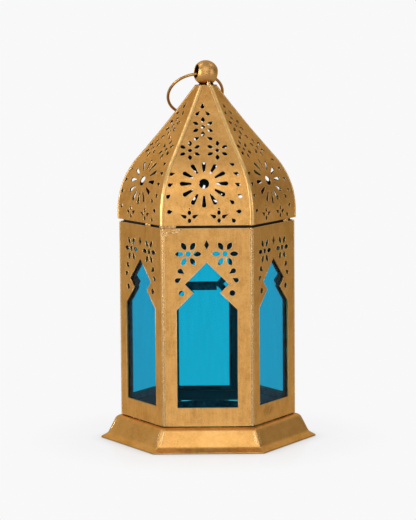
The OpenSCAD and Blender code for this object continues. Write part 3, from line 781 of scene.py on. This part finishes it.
# ---------------------------------------------------------------- ball
def ball_outline():
    """Half a section through the ball: places along the hole and their distance from its axis."""
    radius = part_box("ball_finial")[1].z - BALL_CENTRE.z
    inner = radius - BALL_WALL
    rim = 0.30 * MM
    mouth = math.asin((BALL_HOLE_R + rim) / radius)
    inner_mouth = math.asin(BALL_HOLE_R / inner)
    steps = 40
    quarter = [math.pi / 8 * i for i in range(1, 5)]
    outline = []
    for i in range(steps + 1):
        a = mouth + (math.pi - 2 * mouth) * i / steps
        outline.append((radius * math.cos(a), radius * math.sin(a)))
    x, r = outline[-1]
    outline += [(x + 0.6 * rim * math.sin(a), r - rim * (1 - math.cos(a))) for a in quarter]
    for i in range(steps // 2 + 1):
        a = math.pi - inner_mouth - (math.pi - 2 * inner_mouth) * i / (steps // 2)
        outline.append((inner * math.cos(a), inner * math.sin(a)))
    x, r = outline[0]
    outline += [(x - 0.6 * rim * math.sin(a), r - rim * (1 - math.cos(a)))
                for a in quarter[-2::-1]]
    return outline


def ball_finial():
    """The drilled ball, with the rims of its hole rolled in."""
    turn = Vector((1, 0, 0)).rotation_difference(Vector(RING_JOINT["axis"])).to_matrix()
    around = 96
    turns = [2 * math.pi * j / around for j in range(around)]
    bm = bmesh.new()
    rings = []
    for x, r in ball_outline():
        spread = [Vector((x, r * math.cos(t), r * math.sin(t))) for t in turns]
        rings.append([bm.verts.new(BALL_CENTRE + turn @ place) for place in spread])
    skin(bm, rings, closed=True)
    new_piece("ball_finial_polished", bm, GOLD_BALL, replaces=["ball_finial"], smooth=60)


# ---------------------------------------------------------------- studio
def camera_and_light():
    """The camera that sees the lantern a little from above, and the studio's lights."""
    scene = bpy.context.scene
    camera = bpy.data.objects.new("camera", bpy.data.cameras.new("camera"))
    camera.data.sensor_fit = "VERTICAL"
    camera.data.sensor_height = SENSOR_HEIGHT
    camera.data.lens = FOCAL_LENGTH
    camera.location = CAMERA_PLACE
    look = Euler((math.radians(90) + CAMERA_PITCH, 0, CAMERA_YAW)).to_matrix()
    camera.rotation_euler = (look @ Matrix.Rotation(CAMERA_ROLL, 3, "Z")).to_euler()
    scene.collection.objects.link(camera)
    scene.camera = camera

    for name, azimuth, height, distance, size, watts in SOFTBOXES:
        data = bpy.data.lights.new(name, "AREA")
        data.shape = "RECTANGLE"
        data.size, data.size_y = size
        data.energy = watts
        light = bpy.data.objects.new(name, data)
        a = math.radians(azimuth)
        light.location = (distance * math.sin(a), -distance * math.cos(a), height)
        light.rotation_euler = (LIGHTS_AIM - light.location).to_track_quat("-Z", "Y").to_euler()
        scene.collection.objects.link(light)


def studio_world():
    """A white sweep behind the lantern, pale flanks and ceiling, and a dark room in front."""
    world = bpy.data.worlds.new("studio")
    world.use_nodes = True
    tree = world.node_tree
    tree.nodes.clear()

    def put(socket, value):
        if isinstance(value, bpy.types.NodeSocket):
            tree.links.new(value, socket)
        else:
            socket.default_value = value

    def ramp(value, low, high, to_high):
        made = tree.nodes.new("ShaderNodeMapRange")
        made.interpolation_type = "SMOOTHSTEP"
        for key, number in zip(("Value", "From Min", "From Max", "To Min", "To Max"),
                               (value, low, high, 0.0, to_high)):
            put(made.inputs[key], number)
        return made.outputs["Result"]

    def combine(operation, a, b):
        made = tree.nodes.new("ShaderNodeMath")
        made.operation = operation
        put(made.inputs[0], a)
        put(made.inputs[1], b)
        return made.outputs[0]

    coords = tree.nodes.new("ShaderNodeTexCoord")
    parts = tree.nodes.new("ShaderNodeSeparateXYZ")
    tree.links.new(coords.outputs["Generated"], parts.inputs[0])
    behind = ramp(parts.outputs["Y"], 0.1, 0.8, SKY_BEHIND)
    left = ramp(parts.outputs["X"], 0.9, -0.9, SKY_LEFT)
    above = ramp(parts.outputs["Z"], 0.1, 0.8, SKY_ABOVE)
    flanks = combine("ADD", left, above)
    light = combine("ADD", behind, combine("ADD", flanks, SKY_ALL_ROUND))
    light = combine("MINIMUM", light, SWEEP)
    seen = tree.nodes.new("ShaderNodeLightPath")
    direct = combine("MAXIMUM", seen.outputs["Is Camera Ray"], seen.outputs["Is Transmission Ray"])
    choice = tree.nodes.new("ShaderNodeMix")
    put(choice.inputs[0], direct)
    put(choice.inputs[2], light)
    put(choice.inputs[3], SWEEP)
    glow = tree.nodes.new("ShaderNodeBackground")
    put(glow.inputs["Strength"], choice.outputs[0])
    put(glow.inputs["Color"], (1, 1, 1, 1))
    output = tree.nodes.new("ShaderNodeOutputWorld")
    put(output.inputs["Surface"], glow.outputs[0])
    bpy.context.scene.world = world


def floor():
    bm = bmesh.new()
    bmesh.ops.create_grid(bm, x_segments=8, y_segments=8, size=FLOOR_HALF_WIDTH)
    mesh = bpy.data.meshes.new("floor")
    bm.to_mesh(mesh)
    bm.free()
    obj = bpy.data.objects.new("floor", mesh)
    bpy.context.scene.collection.objects.link(obj)
    mesh.materials.append(white_floor("white_floor"))


# ---------------------------------------------------------------- the lantern
camera_and_light()
studio_world()
floor()
bpy.context.scene.view_settings.view_transform = "Standard"

for name, node in NODES.items():
    paint(node, next((made for starts, made in MATERIAL_OF if name.startswith(starts)), GOLD))

collar_solder()
base_solder()
crown_solder()
drips()
ball_finial()
plinth_shell()
mitre_solder()
for number in range(1, 7):
    crowned_seam(number)
for side in SIDES:
    rims("roof_petal_" + side, SIDE_ANGLE[side], holes_only=True, radius_mm=PETAL_RIM_R)
    if side != "rear":
        rims("body_panel_" + side, SIDE_ANGLE[side], holes_only=False, radius_mm=PANEL_RIM_R)
